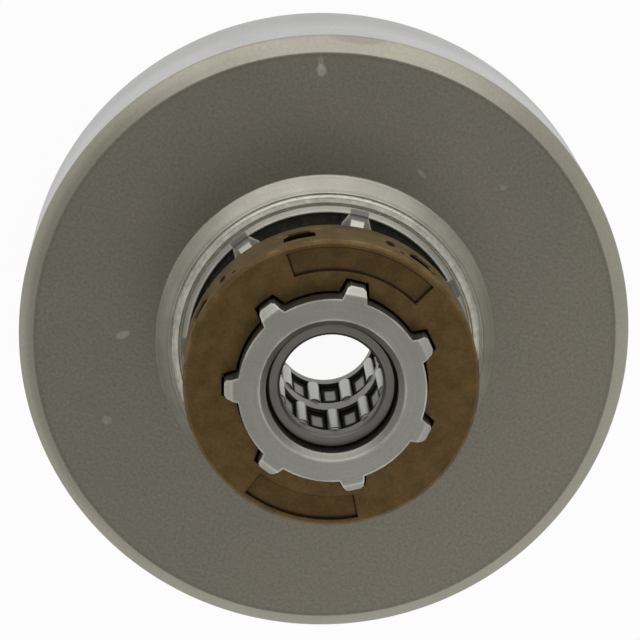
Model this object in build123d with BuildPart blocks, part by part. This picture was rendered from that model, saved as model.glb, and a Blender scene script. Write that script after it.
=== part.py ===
from build123d import *
import math
import os

# Chainsaw clutch drum with a floating rim sprocket and a two-row needle bearing.
# The drum stands on its open mouth. Z = 0 is the mouth plane, +Z is the shaft axis
# towards the hub's nose, and one hub spline points along +Y.

# Drum cup
drum_outer_diameter = 78.2
drum_depth = 20.0
drum_wall = 2.5
drum_web = 3.0
drum_bevel_width = 2.0
drum_bevel_height = 1.9
drum_inner_corner = 2.4

# Needle bearing: the shaft and the rollers set the hub's bore
shaft_diameter = 12.0
roller_diameter = 2.0
roller_play = 0.02
roller_length = 8.5
rollers_per_row = 10
pocket_side_play = 0.06
pocket_end_play = 0.2
cage_outer_gap = 0.12
cage_inner_gap = 0.3
cage_front_ring = 2.2
cage_middle_ring = 3.0
cage_rear_ring = 2.0
cage_pad_recess = 0.35
cage_edge_chamfer = 0.3
cage_setback = 2.5

# Splined hub, measured up from the drum's face
hub_height = 23.4
barrel_wall = 3.4
boss_wall = 6.0
boss_stand_in = 2.0
boss_chamfer = 0.5
spigot_gap = 0.02
bore_chamfer = 0.8
spline_count = 7
spline_height = 1.6
spline_tip_width = 2.1
spline_base_width = 3.05
spline_tip_corner = 0.3
spline_nose_lead = 0.9

# Raised flange round the hub, listed from its base edge inwards
flange_base_diameter = 43.4
flank_run = 1.85
flank_rise = 2.7
step_width = 0.15
step_drop = 0.2
bead_shoulder_run = 0.35
bead_shoulder_rise = 0.35
bead_crown_width = 0.65
bead_crown_rise = 0.25
bead_inner_run = 0.2
valley_depth = 0.5
land_step_run = 0.2
land_slope_run = 0.6
land_slope_drop = 0.45
land_lip_width = 0.15
land_rise = 0.35
pocket_depth = 1.6
pocket_draft = 20.0
spoke_outer_width = 2.3
spoke_inner_width = 3.7
spoke_flare_run = 1.4

# Shoulder ribs that carry the rim sprocket
rib_width = 1.7
rib_overhang = 3.1
rib_toe_run = 0.8
rib_toe_rise = 0.8
rim_seat_height = 12.0

# Rim sprocket
rim_diameter = 36.0
rim_thickness = 8.6
rim_spline_gap = 0.3
rim_front_chamfer = 0.5
rim_rear_chamfer = 0.4
rim_front_flange = 2.5
slot_length = 3.95
slot_width = 3.9
slot_corner = 0.7
slot_depth = 4.2
seat_flat_depth = 0.3
panel_depth = 0.6
panel_width = 3.0
panel_edge_inset = 0.85
upper_panel_span = 64.0
lower_panel_span = 49.0

# Places that follow from the sizes above
spline_start = 90.0
pitch_angle = 360.0 / spline_count
spline_angles = [spline_start + index * pitch_angle for index in range(spline_count)]
drum_radius = drum_outer_diameter / 2
friction_radius = drum_radius - drum_wall
face_z = drum_depth
web_inner_z = face_z - drum_web
shaft_radius = shaft_diameter / 2
bore_radius = shaft_radius + roller_diameter
roller_orbit = shaft_radius + roller_diameter / 2
roller_radius = roller_diameter / 2 - roller_play
barrel_radius = bore_radius + barrel_wall
boss_radius = bore_radius + boss_wall
boss_end_z = web_inner_z - boss_stand_in
nose_z = face_z + hub_height
spline_tip_radius = barrel_radius + spline_height
flange_radius = flange_base_diameter / 2
flank_top_radius = flange_radius - flank_run
step_radius = flank_top_radius - step_width
bead_shoulder_radius = step_radius - bead_shoulder_run
bead_crown_radius = bead_shoulder_radius - bead_crown_width
valley_radius = bead_crown_radius - bead_inner_run
land_outer_radius = valley_radius - land_step_run
land_lip_radius = land_outer_radius - land_slope_run
pocket_outer_radius = land_lip_radius - land_lip_width
flank_top_z = face_z + flank_rise
step_z = flank_top_z - step_drop
bead_shoulder_z = step_z + bead_shoulder_rise
bead_crown_z = bead_shoulder_z + bead_crown_rise
valley_z = bead_crown_z - valley_depth
land_z = bead_crown_z + land_rise
rim_seat_z = face_z + rim_seat_height
rim_front_z = rim_seat_z + rim_thickness
rim_radius = rim_diameter / 2
cage_front_z = nose_z - cage_setback
pocket_length = roller_length + 2 * pocket_end_play
front_row_z = cage_front_z - cage_front_ring - pocket_length
rear_row_z = front_row_z - cage_middle_ring - pocket_length
cage_rear_z = rear_row_z - cage_rear_ring

os.makedirs("parts", exist_ok=True)


def keep(piece, node):
    """Label a finished piece and write it under its own name."""
    piece.part.label = node
    export_step(piece.part, f"parts/{node}.step")


def upright_plane(angle):
    """Plane through the shaft axis, X outwards at the angle, Y along the shaft."""
    outward = Vector(math.cos(math.radians(angle)), math.sin(math.radians(angle)), 0)
    return Plane(origin=(0, 0, 0), x_dir=outward, z_dir=(outward.Y, -outward.X, 0))


# Drum cup: a turned cup whose web has a round hole for the hub's boss
web_hole_radius = boss_radius + spigot_gap
with BuildPart() as drum_cup:
    with BuildSketch(Plane.XZ):
        with BuildLine():
            Polyline(
                (web_hole_radius, face_z),
                (drum_radius - drum_bevel_width, face_z),
                (drum_radius, face_z - drum_bevel_height),
                (drum_radius, 0),
                (friction_radius, 0),
                (friction_radius, web_inner_z - drum_inner_corner),
                (friction_radius - drum_inner_corner, web_inner_z),
                (web_hole_radius, web_inner_z),
                close=True,
            )
        make_face()
    revolve(axis=Axis.Z)
keep(drum_cup, "drum_cup")


# Splined hub: boss, flange and barrel are turned as one, then the pockets are sunk
with BuildPart() as splined_hub:
    with BuildSketch(Plane.XZ):
        with BuildLine():
            Polyline(
                (bore_radius + bore_chamfer, boss_end_z),
                (boss_radius - boss_chamfer, boss_end_z),
                (boss_radius, boss_end_z + boss_chamfer),
                (boss_radius, face_z),
                (flange_radius, face_z),
                (flank_top_radius, flank_top_z),
                (step_radius, step_z),
                (bead_shoulder_radius, bead_shoulder_z),
                (bead_crown_radius, bead_crown_z),
                (valley_radius, valley_z),
                (land_outer_radius, land_z - land_slope_drop),
                (land_lip_radius, land_z),
                (barrel_radius, land_z),
                (barrel_radius, nose_z),
                (bore_radius + bore_chamfer, nose_z),
                (bore_radius, nose_z - bore_chamfer),
                (bore_radius, boss_end_z + bore_chamfer),
                close=True,
            )
        make_face()
    revolve(axis=Axis.Z)

    # Forged pockets between the spokes, which flare just inside the land
    flare_radius = pocket_outer_radius - spoke_flare_run
    with BuildSketch(Plane.XY.offset(land_z)):
        Circle(pocket_outer_radius)
        Circle(barrel_radius, mode=Mode.SUBTRACT)
        with PolarLocations(0, spline_count, start_angle=spline_start):
            Polygon(
                (0, -spoke_inner_width / 2),
                (flare_radius, -spoke_inner_width / 2),
                (pocket_outer_radius, -spoke_outer_width / 2),
                (flange_radius, -spoke_outer_width / 2),
                (flange_radius, spoke_outer_width / 2),
                (pocket_outer_radius, spoke_outer_width / 2),
                (flare_radius, spoke_inner_width / 2),
                (0, spoke_inner_width / 2),
                align=None,
                mode=Mode.SUBTRACT,
            )
    extrude(amount=-pocket_depth, taper=pocket_draft, mode=Mode.SUBTRACT)

    # Shoulder ribs with a sloped toe, one below each spline
    rib_end_radius = spline_tip_radius + rib_overhang
    with BuildSketch(*[upright_plane(angle) for angle in spline_angles]):
        Polygon(
            (bore_radius + barrel_wall / 2, land_z),
            (rib_end_radius + rib_toe_run, land_z),
            (rib_end_radius, land_z + rib_toe_rise),
            (rib_end_radius, rim_seat_z),
            (bore_radius + barrel_wall / 2, rim_seat_z),
            align=None,
        )
    extrude(amount=rib_width / 2, both=True)

    # Tapered splines up to the nose, with broken tip corners and a turned lead on them
    with BuildSketch(Plane.XY.offset(land_z)) as spline_section:
        with PolarLocations(0, spline_count, start_angle=spline_start):
            Polygon(
                (bore_radius + barrel_wall / 2, -spline_base_width / 2),
                (barrel_radius, -spline_base_width / 2),
                (spline_tip_radius, -spline_tip_width / 2),
                (spline_tip_radius, spline_tip_width / 2),
                (barrel_radius, spline_base_width / 2),
                (bore_radius + barrel_wall / 2, spline_base_width / 2),
                align=None,
            )
        tips = spline_section.vertices().filter_by(
            lambda corner: math.hypot(corner.X, corner.Y) > spline_tip_radius
        )
        chamfer(tips, spline_tip_corner)
    extrude(amount=nose_z - land_z)
    with BuildSketch(Plane.XZ):
        with BuildLine():
            Polyline(
                (spline_tip_radius - spline_nose_lead, nose_z),
                (spline_tip_radius + spline_nose_lead, nose_z),
                (spline_tip_radius + spline_nose_lead, nose_z - 2 * spline_nose_lead),
                close=True,
            )
        make_face()
    revolve(axis=Axis.Z, mode=Mode.SUBTRACT)
keep(splined_hub, "splined_hub")


# Rim sprocket: a ring that floats on the splines, with a slot for each drive link
slot_floor_radius = rim_radius - slot_depth
slot_z = rim_front_z - rim_front_flange - slot_width / 2
slot_angles = [spline_start + (index + 0.5) * pitch_angle for index in range(spline_count)]


def radial_plane(angle, radius):
    """Plane that faces outwards at the slots' height, X along the rim, Y along the shaft."""
    outward = Vector(math.cos(math.radians(angle)), math.sin(math.radians(angle)), 0)
    along_rim = Vector(-outward.Y, outward.X, 0)
    return Plane(
        origin=(outward.X * radius, outward.Y * radius, slot_z),
        x_dir=along_rim,
        z_dir=outward,
    )


with BuildPart() as rim_sprocket:
    with BuildSketch(Plane.XY.offset(rim_seat_z)):
        Circle(rim_radius)
    extrude(amount=rim_thickness)
    chamfer(rim_sprocket.edges().group_by(Axis.Z)[-1], rim_front_chamfer)
    chamfer(rim_sprocket.edges().group_by(Axis.Z)[0], rim_rear_chamfer)

    # Splined bore: the hub's own section with the running gap round it
    with BuildSketch(Plane.XY.offset(rim_seat_z)):
        Circle(barrel_radius + rim_spline_gap)
        with PolarLocations(0, spline_count, start_angle=spline_start):
            Polygon(
                (0, -spline_base_width / 2 - rim_spline_gap),
                (barrel_radius + rim_spline_gap, -spline_base_width / 2 - rim_spline_gap),
                (spline_tip_radius + rim_spline_gap, -spline_tip_width / 2 - rim_spline_gap),
                (spline_tip_radius + rim_spline_gap, spline_tip_width / 2 + rim_spline_gap),
                (barrel_radius + rim_spline_gap, spline_base_width / 2 + rim_spline_gap),
                (0, spline_base_width / 2 + rim_spline_gap),
                align=None,
            )
    extrude(amount=rim_thickness, mode=Mode.SUBTRACT)

    # A shallow flat where each drive link seats, and the deep slot in its middle
    flat_radius = rim_radius - seat_flat_depth
    with BuildSketch(*[radial_plane(angle, flat_radius) for angle in slot_angles]):
        Rectangle(rim_radius, slot_width)
    extrude(amount=slot_depth, mode=Mode.SUBTRACT)
    with BuildSketch(*[radial_plane(angle, slot_floor_radius) for angle in slot_angles]) as slot:
        Rectangle(slot_length, slot_width)
        chamfer(slot.vertices(), slot_corner)
    extrude(amount=slot_depth, mode=Mode.SUBTRACT)

    # Two bare recessed panels on the front face, on opposite sides
    panel_outer_radius = rim_radius - panel_edge_inset
    panel_inner_radius = panel_outer_radius - panel_width
    for middle, span in ((spline_start, upper_panel_span), (spline_start + 180, lower_panel_span)):
        with BuildSketch(Plane.XY.offset(rim_front_z)):
            with BuildLine():
                outer = CenterArc((0, 0), panel_outer_radius, middle - span / 2, span)
                inner = CenterArc((0, 0), panel_inner_radius, middle - span / 2, span)
                Line(outer @ 0, inner @ 0)
                Line(outer @ 1, inner @ 1)
            make_face()
        extrude(amount=-panel_depth, mode=Mode.SUBTRACT)
keep(rim_sprocket, "rim_sprocket")


# Needle cage: a sleeve with a window per roller and recessed pads between the rollers
cage_outer_radius = bore_radius - cage_outer_gap
cage_inner_radius = shaft_radius + cage_inner_gap
pad_radius = cage_inner_radius + cage_pad_recess
rows = {
    "front": (front_row_z, 0.0),
    "rear": (rear_row_z, 180.0 / rollers_per_row),
}
with BuildPart() as needle_cage:
    with BuildSketch(Plane.XY.offset(cage_rear_z)):
        Circle(cage_outer_radius)
        Circle(cage_inner_radius, mode=Mode.SUBTRACT)
    extrude(amount=cage_front_z - cage_rear_z)
    chamfer(needle_cage.edges().group_by(Axis.Z)[-1], cage_edge_chamfer)
    for row_z, row_start in rows.values():
        with BuildSketch(Plane.XY.offset(row_z)):
            Circle(pad_radius)
        extrude(amount=pocket_length, mode=Mode.SUBTRACT)
        with BuildSketch(Plane.XY.offset(row_z)):
            with PolarLocations(roller_orbit, rollers_per_row, start_angle=row_start):
                Rectangle(2 * roller_diameter, 2 * (roller_radius + pocket_side_play))
        extrude(amount=pocket_length, mode=Mode.SUBTRACT)
keep(needle_cage, "needle_cage")


# Needle rollers: one node each, because each turns on its own axis
for row, (row_z, row_start) in rows.items():
    for index in range(rollers_per_row):
        angle = math.radians(row_start + index * 360.0 / rollers_per_row)
        roller_origin = (
            roller_orbit * math.cos(angle),
            roller_orbit * math.sin(angle),
            row_z + pocket_end_play,
        )
        with BuildPart() as roller:
            with BuildSketch(Plane(roller_origin)):
                Circle(roller_radius)
            extrude(amount=roller_length)
        keep(roller, f"{row}_roller_{index + 1:02d}")
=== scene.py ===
"""Looks of a chainsaw clutch drum: turned cup, forged hub, sintered rim and needle bearing."""

from __future__ import annotations

import logging
import math
from dataclasses import dataclass
from enum import Enum
from typing import ClassVar

import bmesh
import bpy
from mathutils import Matrix, Vector

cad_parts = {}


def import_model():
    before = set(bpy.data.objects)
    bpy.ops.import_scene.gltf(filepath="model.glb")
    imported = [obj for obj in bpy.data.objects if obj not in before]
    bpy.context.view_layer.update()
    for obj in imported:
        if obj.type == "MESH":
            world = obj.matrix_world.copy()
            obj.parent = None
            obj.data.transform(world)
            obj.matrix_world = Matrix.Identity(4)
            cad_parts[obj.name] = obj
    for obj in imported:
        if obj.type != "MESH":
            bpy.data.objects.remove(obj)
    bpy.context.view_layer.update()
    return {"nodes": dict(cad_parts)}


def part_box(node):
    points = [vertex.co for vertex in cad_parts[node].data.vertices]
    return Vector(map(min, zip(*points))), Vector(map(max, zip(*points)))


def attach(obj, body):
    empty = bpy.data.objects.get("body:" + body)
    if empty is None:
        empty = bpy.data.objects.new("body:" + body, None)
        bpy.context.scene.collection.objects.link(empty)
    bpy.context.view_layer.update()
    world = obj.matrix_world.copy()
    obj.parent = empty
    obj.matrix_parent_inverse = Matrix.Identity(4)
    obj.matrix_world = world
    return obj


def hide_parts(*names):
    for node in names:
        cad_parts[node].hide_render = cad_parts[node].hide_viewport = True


LOG = logging.getLogger("clutch_drum")
MM = 0.001
SHARP_ANGLE = math.radians(32)

Point = tuple[float, float]
Colour = tuple[float, float, float]
Socket = bpy.types.NodeSocket
Value = Socket | float


def srgb(red: int, green: int, blue: int) -> Colour:
    """Turn a screen colour into the linear colour that a shader takes.

    Args:
        red: Red from 0 to 255.
        green: Green from 0 to 255.
        blue: Blue from 0 to 255.

    Returns:
        The linear colour.
    """

    def linear(channel: int) -> float:
        """Linear value of one channel."""
        share = channel / 255.0
        return share / 12.92 if share <= 0.04045 else ((share + 0.055) / 1.055) ** 2.4

    return linear(red), linear(green), linear(blue)


class Ray(Enum):
    """Kinds of ray, by the light path's outputs."""

    CAMERA = "Is Camera Ray"
    GLOSSY = "Is Glossy Ray"
    GLASS = "Is Transmission Ray"


class Zone(Enum):
    """Zones of the drum that differ in finish."""

    FACE = "face"
    BEVEL = "bevel"
    WALL = "wall"


@dataclass(frozen=True)
class Mark:
    """A small stain or worn spot on the drum, as an ellipse seen along the shaft."""

    zone: Zone
    x: float
    y: float
    long: float
    short: float
    turn_deg: float
    strength: float


FACE_MARKS = (
    Mark(Zone.FACE, -8.65 * MM, 33.85 * MM, 0.85 * MM, 0.65 * MM, 104.0, 0.40),
    Mark(Zone.FACE, -8.95 * MM, 34.75 * MM, 0.95 * MM, 0.35 * MM, 104.0, 0.25),
    Mark(Zone.FACE, -25.3 * MM, -5.0 * MM, 1.0 * MM, 0.5 * MM, 35.0, 0.30),
    Mark(Zone.FACE, -24.8 * MM, -16.5 * MM, 0.7 * MM, 0.6 * MM, 0.0, 0.20),
    Mark(Zone.FACE, 6.7 * MM, 23.9 * MM, 0.9 * MM, 0.3 * MM, -36.0, 0.22),
    Mark(Zone.FACE, 17.2 * MM, 24.5 * MM, 0.5 * MM, 0.4 * MM, 0.0, 0.18),
    Mark(Zone.BEVEL, -5.0 * MM, 38.4 * MM, 3.6 * MM, 0.5 * MM, 7.0, -0.45),
)


class MetalTree:
    """Node tree of one metal finish, with the places and masks that its zones need."""

    def __init__(self, name: str) -> None:
        """Start the tree.

        Args:
            name: Name of the material.
        """
        self.material = bpy.data.materials.new(name)
        self.material.use_nodes = True
        self.nodes = self.material.node_tree.nodes
        self.links = self.material.node_tree.links
        self.shader = self.nodes["Principled BSDF"]
        self.place: Socket = self.nodes.new("ShaderNodeTexCoord").outputs["Object"]
        split = self.node("ShaderNodeSeparateXYZ", {"Vector": self.place})
        self.x: Socket = split.outputs["X"]
        self.y: Socket = split.outputs["Y"]
        self.height: Socket = split.outputs["Z"]
        flat = self.node("ShaderNodeCombineXYZ", {"X": self.x, "Y": self.y})
        length = self.node("ShaderNodeVectorMath", {0: flat.outputs[0]}, "LENGTH")
        self.radius: Socket = length.outputs["Value"]
        self.angle: Socket = self.math("ARCTAN2", self.y, self.x)

    def node(self, kind: str, inputs: dict[str | int, object], operation: str = "") -> bpy.types.Node:
        """Add a node and fill its inputs.

        Args:
            kind: Node type.
            inputs: Socket name or place to a value or a socket.
            operation: Operation of a node that does sums.

        Returns:
            The new node.
        """
        made = self.nodes.new(kind)
        if operation:
            made.operation = operation
        for key, value in inputs.items():
            self.feed(made.inputs[key], value)
        return made

    def feed(self, target: Socket, value: object) -> None:
        """Link a socket or set its value.

        Args:
            target: The input to fill.
            value: A socket to link, or a plain value or colour.
        """
        if isinstance(value, bpy.types.NodeSocket):
            self.links.new(value, target)
        elif isinstance(value, tuple) and len(value) == 3 and target.type == "RGBA":
            target.default_value = (*value, 1.0)
        else:
            target.default_value = value

    def math(self, operation: str, first: Value, second: Value = 0.0) -> Socket:
        """One sum on numbers, by the name of Blender's operation."""
        return self.node("ShaderNodeMath", {0: first, 1: second}, operation).outputs[0]

    def rise(self, value: Value, low: float, high: float) -> Socket:
        """Smooth step.

        Args:
            value: What the step follows.
            low: Where it is 0.
            high: Where it is 1.

        Returns:
            The mask.
        """
        made = self.node("ShaderNodeMapRange", {"Value": value, "From Min": low, "From Max": high})
        made.interpolation_type = "SMOOTHSTEP"
        return made.outputs["Result"]

    def fall(self, value: Value, low: float, high: float) -> Socket:
        """Smooth step from 1 at low to 0 at high."""
        return self.off(self.rise(value, low, high))

    def band(self, value: Value, low: float, high: float, soft: float) -> Socket:
        """Mask of 1 between low and high, with soft edges."""
        return self.both(self.rise(value, low - soft, low + soft), self.fall(value, high - soft, high + soft))

    def both(self, first: Value, second: Value) -> Socket:
        """Where both masks hold."""
        return self.math("MULTIPLY", first, second)

    def either(self, first: Value, second: Value) -> Socket:
        """Where one mask or the other holds."""
        return self.math("MAXIMUM", first, second)

    def off(self, mask: Value) -> Socket:
        """Where a mask doesn't hold."""
        return self.math("SUBTRACT", 1.0, mask)

    def spread(self, value: Value, low: float, high: float) -> Socket:
        """Map 0 to 1 onto low to high."""
        made = self.node("ShaderNodeMapRange", {"Value": value, "To Min": low, "To Max": high})
        return made.outputs["Result"]

    def noise(self, scale: float, detail: float = 3.0, place: Socket | None = None) -> Socket:
        """Noise from 0 to 1.

        Args:
            scale: Cells per metre.
            detail: Octaves.
            place: Coordinates, or the object's own.

        Returns:
            The noise value.
        """
        inputs = {"Vector": place or self.place, "Scale": scale, "Detail": detail}
        return self.node("ShaderNodeTexNoise", inputs).outputs["Fac"]

    def turned(self, along: Value, scale: float, drift: float) -> Socket:
        """Turning marks: noise that runs in rings round the shaft.

        Args:
            along: What the rings step along, the radius or the height.
            scale: Rings per metre.
            drift: How much a ring changes on its way round.

        Returns:
            The noise value.
        """
        steps = self.math("MULTIPLY", along, scale)
        slow = self.math("MULTIPLY", self.math("SINE", self.angle), drift)
        other = self.math("MULTIPLY", self.math("COSINE", self.angle), drift)
        place = self.node("ShaderNodeCombineXYZ", {"X": steps, "Y": slow, "Z": other})
        return self.noise(1.0, 2.0, place.outputs[0])

    def mix(self, mask: Value, first: object, second: object) -> Socket:
        """Mix two colours.

        Args:
            mask: Share of the second colour.
            first: Colour where the mask is 0.
            second: Colour where the mask is 1.

        Returns:
            The mixed colour.
        """
        made = self.nodes.new("ShaderNodeMix")
        made.data_type = "RGBA"
        self.feed(made.inputs["Factor"], mask)
        self.feed(made.inputs[6], first)
        self.feed(made.inputs[7], second)
        return made.outputs[2]

    def blend(self, mask: Value, first: Value, second: Value) -> Socket:
        """Mix two numbers.

        Args:
            mask: Share of the second number.
            first: Number where the mask is 0.
            second: Number where the mask is 1.

        Returns:
            The mixed number.
        """
        made = self.nodes.new("ShaderNodeMix")
        self.feed(made.inputs["Factor"], mask)
        self.feed(made.inputs[2], first)
        self.feed(made.inputs[3], second)
        return made.outputs[0]

    def tint(self, colour: Socket | Colour, factor: Value) -> Socket:
        """Colour made darker or lighter by a factor."""
        return self.node("ShaderNodeVectorMath", {0: colour, "Scale": factor}, "SCALE").outputs[0]

    def shade(self, colour: Socket | Colour, mask: Value, factor: Value) -> Socket:
        """Colour made darker or lighter by a factor where a mask holds."""
        return self.tint(colour, self.blend(mask, 1.0, factor))

    def vary(self, colour: Socket | Colour, noise: Value, share: float) -> Socket:
        """Colour that a noise makes darker and lighter by up to a share."""
        return self.tint(colour, self.spread(noise, 1.0 - share, 1.0 + share))

    def ellipse(self, mark: Mark) -> Socket:
        """Mask of a mark, soft at its edge.

        Args:
            mark: The mark.

        Returns:
            The mask.
        """
        turn = math.radians(mark.turn_deg)
        across = self.math("SUBTRACT", self.x, mark.x)
        upward = self.math("SUBTRACT", self.y, mark.y)
        along = self.math(
            "ADD",
            self.math("MULTIPLY", across, math.cos(turn) / mark.long),
            self.math("MULTIPLY", upward, math.sin(turn) / mark.long),
        )
        beside = self.math(
            "ADD",
            self.math("MULTIPLY", across, -math.sin(turn) / mark.short),
            self.math("MULTIPLY", upward, math.cos(turn) / mark.short),
        )
        reach = self.math("ADD", self.both(along, along), self.both(beside, beside))
        return self.fall(reach, 0.35, 1.25)

    def edges(self, reach: float) -> Socket:
        """Mask of sharp edges, found where a rounded normal leaves the surface's own.

        Args:
            reach: How far the mask spreads from an edge, in metres.

        Returns:
            The mask.
        """
        rounded = self.node("ShaderNodeBevel", {"Radius": reach})
        own = self.nodes.new("ShaderNodeNewGeometry").outputs["Normal"]
        alike = self.node("ShaderNodeVectorMath", {0: rounded.outputs[0], 1: own}, "DOT_PRODUCT")
        return self.fall(alike.outputs["Value"], 0.9, 0.99)

    def relief(self, edge_round: float, *layers: tuple[Value, float]) -> Socket:
        """Normal of a rough surface whose sharp edges look rounded.

        Args:
            edge_round: Radius that sharp edges seem to have, in metres.
            layers: Heights from 0 to 1, each with its real depth in metres.

        Returns:
            The normal.
        """
        total: Value = 0.0
        for height, depth in layers:
            total = self.math("ADD", total, self.math("MULTIPLY", height, depth))
        edge = self.node("ShaderNodeBevel", {"Radius": edge_round})
        bump = self.node("ShaderNodeBump", {"Height": total, "Distance": 1.0, "Normal": edge.outputs[0]})
        return bump.outputs[0]

    def finish(
        self, colour: Socket, roughness: Value, normal: Socket, grease: Value = 0.0
    ) -> bpy.types.Material:
        """Fill the shader of a metal, bare where no grease lies.

        Args:
            colour: Colour of the metal or of the grease.
            roughness: Roughness.
            normal: Normal with relief.
            grease: Mask of dull black grease, which also carries painted deep shade.

        Returns:
            The material.
        """
        bare = self.off(grease)
        self.feed(self.shader.inputs["Base Color"], colour)
        self.feed(self.shader.inputs["Roughness"], roughness)
        self.feed(self.shader.inputs["Metallic"], bare)
        self.feed(self.shader.inputs["Specular IOR Level"], self.math("MULTIPLY", bare, 0.5))
        self.feed(self.shader.inputs["Normal"], normal)
        return self.material


@dataclass(frozen=True)
class DrumSteel:
    """Blasted grey-brown face, lighter turned bevel and wall, darker inside."""

    face: Colour = srgb(127, 123, 112)
    bevel: Colour = srgb(151, 147, 134)
    wall: Colour = srgb(174, 174, 172)
    inside: Colour = srgb(132, 130, 124)
    seam: Colour = srgb(112, 101, 86)
    stain: Colour = srgb(196, 194, 186)
    grain_scale: float = 2600.0
    mottle_scale: float = 110.0
    ring_scale: float = 5200.0
    ring_drift: float = 1.5
    seam_share: float = 0.35
    # painted shade: the face darker along its edge and the bevel darker on its left
    face_edge_shade: float = 0.9
    left_bevel_shade: float = 0.72

    def make(self, cup: DrumCup) -> bpy.types.Material:
        """Material of the cup.

        Args:
            cup: The cup whose zones it follows.

        Returns:
            The material.
        """
        tree = MetalTree("drum_steel")
        zones = self.zones(tree, cup)
        on_face, on_wall = zones[Zone.FACE], zones[Zone.WALL]
        grain = tree.noise(self.grain_scale, 3.0)
        mottle = tree.noise(self.mottle_scale, 4.0)
        rings = tree.turned(tree.height, self.ring_scale, self.ring_drift)
        colour = self.paint(tree, cup, zones)
        colour = self.mark(tree, colour, zones, mottle)
        colour = tree.vary(colour, mottle, 0.12)
        speckle = tree.blend(on_face, tree.spread(grain, 0.85, 1.15), tree.spread(grain, 0.68, 1.32))
        colour = tree.tint(colour, speckle)
        colour = tree.shade(colour, on_wall, tree.spread(rings, 0.88, 1.12))
        colour = self.shadow(tree, cup, colour, zones)
        roughness = tree.blend(on_face, 0.4, tree.spread(mottle, 0.48, 0.58))
        normal = tree.relief(0.15 * MM, (grain, 0.012 * MM), (tree.both(rings, on_wall), 0.02 * MM))
        return tree.finish(colour, roughness, normal)

    @staticmethod
    def zones(tree: MetalTree, cup: DrumCup) -> dict[Zone, Socket]:
        """Masks of the drum's zones, by height.

        Args:
            tree: The tree that they are part of.
            cup: The cup whose edges they follow.

        Returns:
            The mask of each zone. The bevel's mask takes in the face.
        """
        face = tree.rise(tree.height, cup.face_z - 0.13 * MM, cup.face_z - 0.02 * MM)
        bevel = tree.rise(tree.height, cup.bevel_z - 0.15 * MM, cup.bevel_z + 0.15 * MM)
        return {Zone.FACE: face, Zone.BEVEL: bevel, Zone.WALL: tree.off(bevel)}

    def paint(self, tree: MetalTree, cup: DrumCup, zones: dict[Zone, Socket]) -> Socket:
        """Plain colour of each zone, with the stained seam below the bevel.

        Args:
            tree: The tree that it is part of.
            cup: The cup whose edges it follows.
            zones: Masks of the zones.

        Returns:
            The colour.
        """
        within = tree.both(
            tree.fall(tree.radius, cup.friction_radius + 0.1 * MM, cup.friction_radius + 0.3 * MM),
            tree.fall(tree.height, cup.web_z + 0.1 * MM, cup.web_z + 0.3 * MM),
        )
        seam = tree.band(tree.height, cup.bevel_z - 0.12 * MM, cup.bevel_z + 0.08 * MM, 0.1 * MM)
        colour = tree.mix(zones[Zone.BEVEL], self.wall, self.bevel)
        colour = tree.mix(tree.both(seam, self.seam_share), colour, self.seam)
        colour = tree.mix(zones[Zone.FACE], colour, self.face)
        return tree.mix(within, colour, self.inside)

    def mark(self, tree: MetalTree, colour: Socket, zones: dict[Zone, Socket], mottle: Socket) -> Socket:
        """Lay the stains and worn spots over the colour.

        Args:
            tree: The tree that they are part of.
            colour: Colour below them.
            zones: Masks of the zones.
            mottle: Noise that makes their edges ragged.

        Returns:
            The marked colour.
        """
        for mark in FACE_MARKS:
            spot = tree.both(zones[mark.zone], tree.ellipse(mark))
            ragged = tree.both(spot, tree.spread(mottle, 0.7, 1.3))
            target = self.stain if mark.strength > 0 else self.face
            colour = tree.mix(tree.both(ragged, abs(mark.strength)), colour, target)
        return colour

    def shadow(self, tree: MetalTree, cup: DrumCup, colour: Socket, zones: dict[Zone, Socket]) -> Socket:
        """Paint shade on the face's edge and the bevel's left, and paint light and shade up the wall so that
        it grows lighter upwards.

        Args:
            tree: The tree that it is part of.
            cup: The cup whose edges it follows.
            colour: Colour so far.
            zones: Masks of the zones.

        Returns:
            The shaded colour.
        """
        edge_line = tree.band(tree.radius, cup.face_radius - 0.4 * MM, cup.face_radius - 0.15 * MM, 0.08 * MM)
        leftward = tree.rise(tree.math("DIVIDE", tree.x, -cup.outer_radius), 0.2, 1.0)
        bevel_top = tree.rise(tree.height, cup.bevel_z + 0.3 * MM, cup.face_z - 0.4 * MM)
        bevel_top = tree.both(tree.both(zones[Zone.BEVEL], bevel_top), tree.off(zones[Zone.FACE]))
        wall_light_near_bevel = tree.rise(tree.height, cup.bevel_z - 14.0 * MM, cup.bevel_z - 4.0 * MM)
        # painted shade on the face's edge and the bevel's left, then painted light and shade up the wall
        colour = tree.shade(colour, tree.both(edge_line, zones[Zone.FACE]), self.face_edge_shade)
        colour = tree.shade(colour, tree.both(bevel_top, leftward), self.left_bevel_shade)
        return tree.shade(colour, zones[Zone.WALL], tree.spread(wall_light_near_bevel, 0.88, 1.14))


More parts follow.
